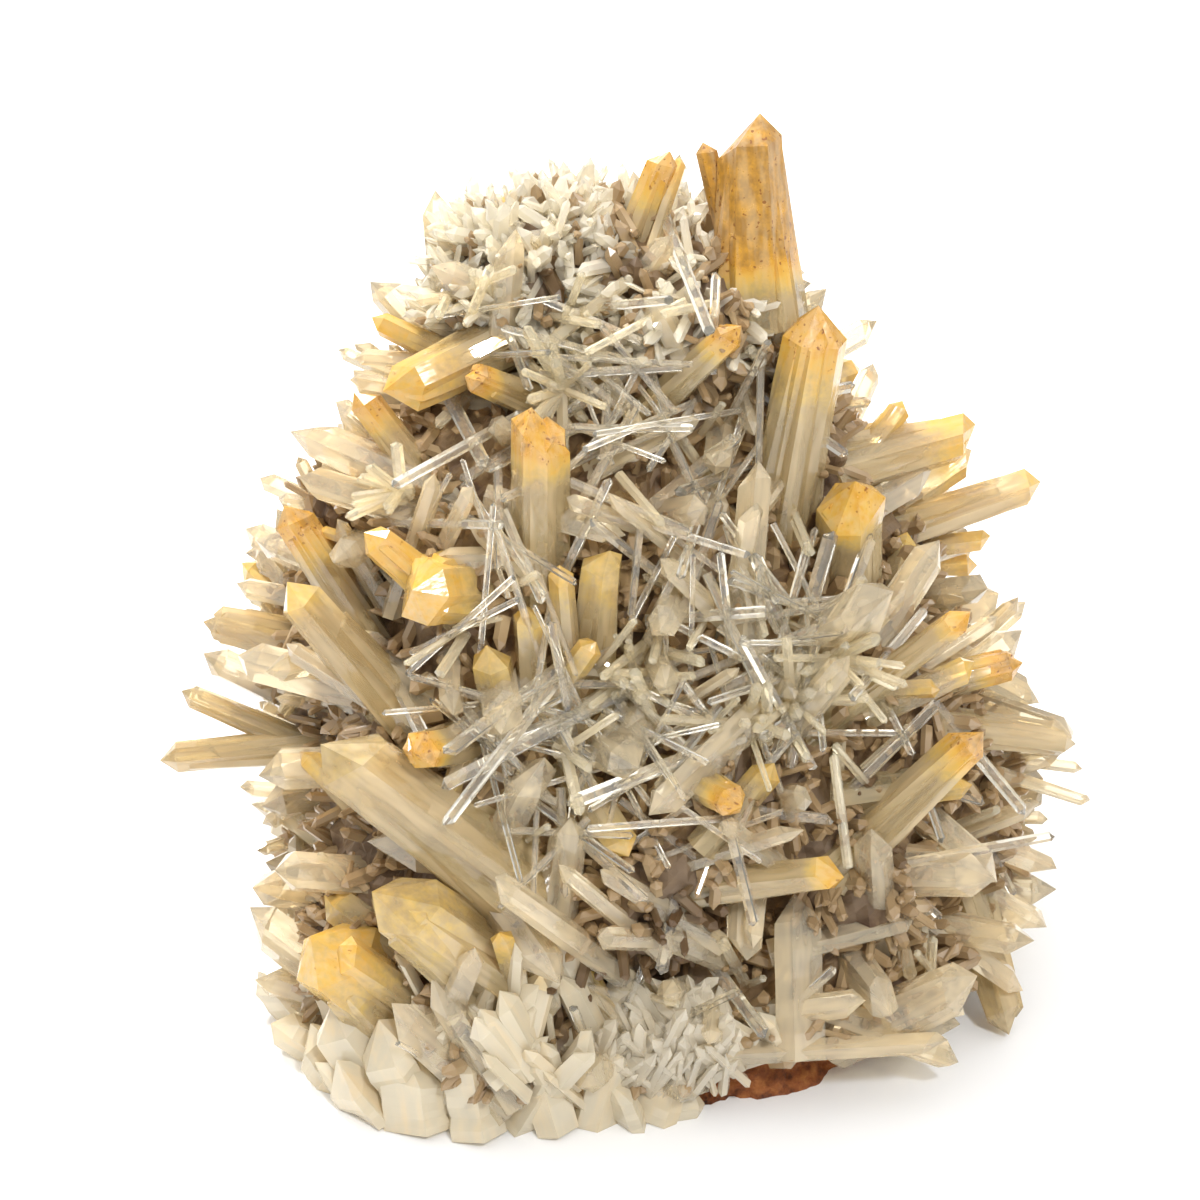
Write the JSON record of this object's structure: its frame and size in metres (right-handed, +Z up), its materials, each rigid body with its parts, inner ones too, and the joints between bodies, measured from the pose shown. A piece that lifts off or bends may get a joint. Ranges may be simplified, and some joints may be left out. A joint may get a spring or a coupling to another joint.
{
  "type": "mango quartz crystal cluster",
  "caption": "Free-standing peak of clear quartz prisms and needles with mango-yellow tips, grown on rusty host rock.",
  "frame": {"origin": "on the surface that the specimen stands on, under its summit, in the middle of the host rock's flat underside", "axes": "+Z up, -Y towards the side that the picture shows, +X to that side's right"},
  "size_m": [0.1173, 0.1013, 0.1158],
  "materials": {
    "clear_quartz": "vitreous, clear with a beige depth, milky where the crust is thick",
    "mango_quartz": "vitreous, clear at the foot and clouded with yellow-orange at the tip",
    "rusty_rock": "dull, broken, iron-stained"
  },
  "bodies": {
    "root": {"quartz_cluster": "clear_quartz", "matrix_rock": "rusty_rock", "crown_great_point": "mango_quartz", "crown_small_point": "mango_quartz", "right_shoulder_point": "mango_quartz", "short_orange_point": "mango_quartz", "left_knob_point": "mango_quartz", "amber_pair": "mango_quartz", "left_shoulder_point": "mango_quartz", "centre_post": "mango_quartz", "left_long_point": "mango_quartz", "left_olive_point": "mango_quartz", "great_bulb": "mango_quartz", "great_pale_prism": "mango_quartz", "left_bulb": "mango_quartz", "left_spears": "clear_quartz", "left_blunt_point": "clear_quartz", "ochre_foot_prism": "mango_quartz", "yellow_foot_crystal": "mango_quartz", "right_foot_crystal": "clear_quartz", "low_right_point": "mango_quartz", "middle_right_point": "mango_quartz", "hexagon_point": "mango_quartz", "back_amber_point": "mango_quartz", "back_grey_point": "mango_quartz", "long_right_point": "mango_quartz", "right_knob_point": "mango_quartz", "right_lower_point": "mango_quartz", "right_spear": "clear_quartz", "olive_centre_point": "mango_quartz"}
  },
  "joints": []
}
